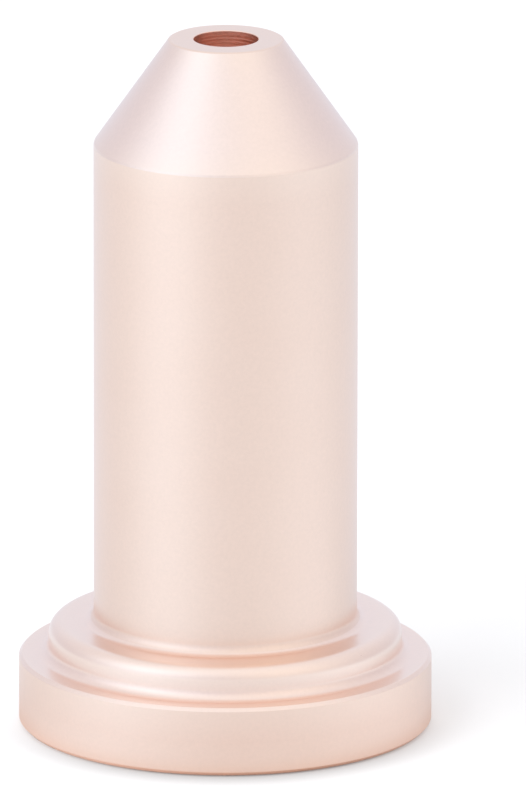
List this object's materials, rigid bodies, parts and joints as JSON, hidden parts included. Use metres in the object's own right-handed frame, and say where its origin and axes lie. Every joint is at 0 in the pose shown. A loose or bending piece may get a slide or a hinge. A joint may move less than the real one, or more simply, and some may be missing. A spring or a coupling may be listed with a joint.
{
  "type": "plasma torch nozzle",
  "caption": "Turned copper nozzle for a plasma torch: a flanged barrel with a conical nose, bored through to shape and guide the plasma arc.",
  "frame": {"origin": "centre of the seat, the flat annular face at the flange end", "axes": "+Z along the axis of turning, from the seat towards the nose; X and Y are any two directions square to it, because the part is the same all round"},
  "size_m": [0.016, 0.016, 0.0272],
  "materials": {
    "copper": "bare copper, satin as turned, with fine turning lines"
  },
  "bodies": {
    "root": {"nozzle": "copper"}
  },
  "joints": []
}
